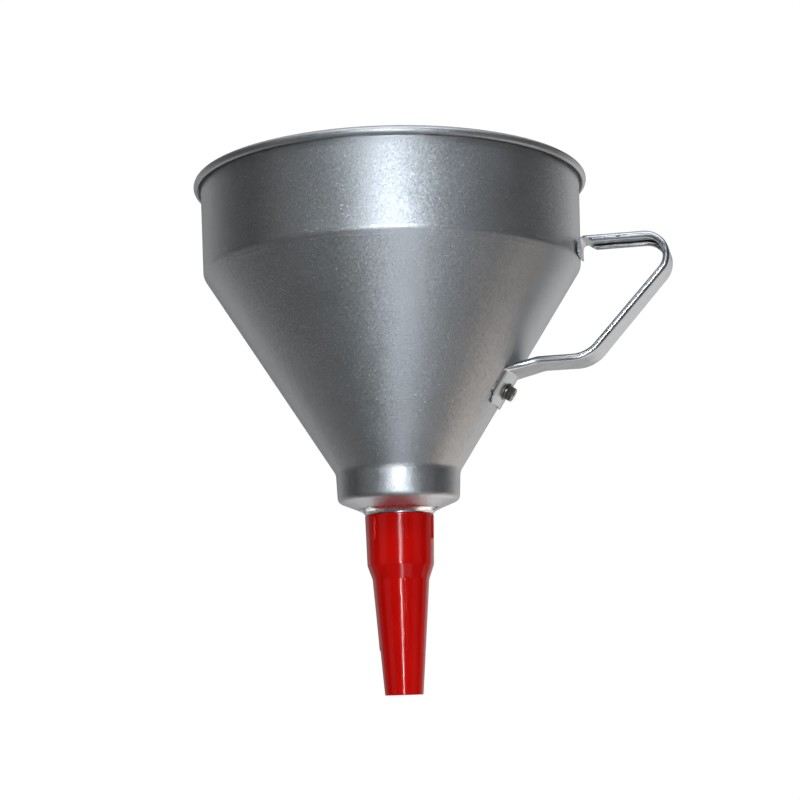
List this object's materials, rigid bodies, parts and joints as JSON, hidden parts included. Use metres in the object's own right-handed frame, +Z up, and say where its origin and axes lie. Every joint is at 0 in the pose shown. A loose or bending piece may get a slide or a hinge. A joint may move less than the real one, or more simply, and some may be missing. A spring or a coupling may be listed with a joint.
{
  "type": "fuel funnel",
  "caption": "Metal fuel funnel with a deep round bowl, a strap handle, a lift-out gauze strainer in its collar and a push-on red plastic spout.",
  "frame": {"origin": "on the funnel's axis, at the spout's tip face", "axes": "+Z up along the funnel's axis towards the open rim, +X towards the handle, Y across the handle's plane"},
  "size_m": [0.2412, 0.2, 0.2591],
  "materials": {
    "silver_lacquer": "satin metallic lacquer",
    "tinned_steel": "bright tinned",
    "red_plastic": "moulded gloss",
    "zinc_plate": "bright zinc plated",
    "dull_steel": "plain, slightly tarnished",
    "seal_rubber": "matte",
    "brass": "satin"
  },
  "bodies": {
    "funnel": {"funnel_bowl": "silver_lacquer", "neck_tube": "tinned_steel", "neck_solder": "tinned_steel", "handle": "zinc_plate", "handle_screw": "zinc_plate", "seal_washer": "seal_rubber", "flat_washer": "dull_steel", "hex_nut": "dull_steel"},
    "spout": {"spout": "red_plastic"},
    "strainer": {"strainer_ring": "brass", "strainer_gauze": "brass", "strainer_clamp_ring": "brass", "bail_bracket_left": "brass", "bail_bracket_right": "brass"},
    "bail": {"strainer_bail": "brass"}
  },
  "joints": [
    {"name": "spout_pull", "type": "slide", "parent": "funnel", "child": "spout", "axis": [0, 0, -1], "range_m": [0, 0.03]},
    {"name": "strainer_lift", "type": "slide", "parent": "funnel", "child": "strainer", "axis": [0, 0, 1], "range_m": [0, 0.17]},
    {"name": "bail_swing", "type": "hinge", "parent": "strainer", "child": "bail", "pos_m": [0, 0, 0.1056], "axis": [0, 1, 0], "range_deg": [0, 211]}
  ]
}
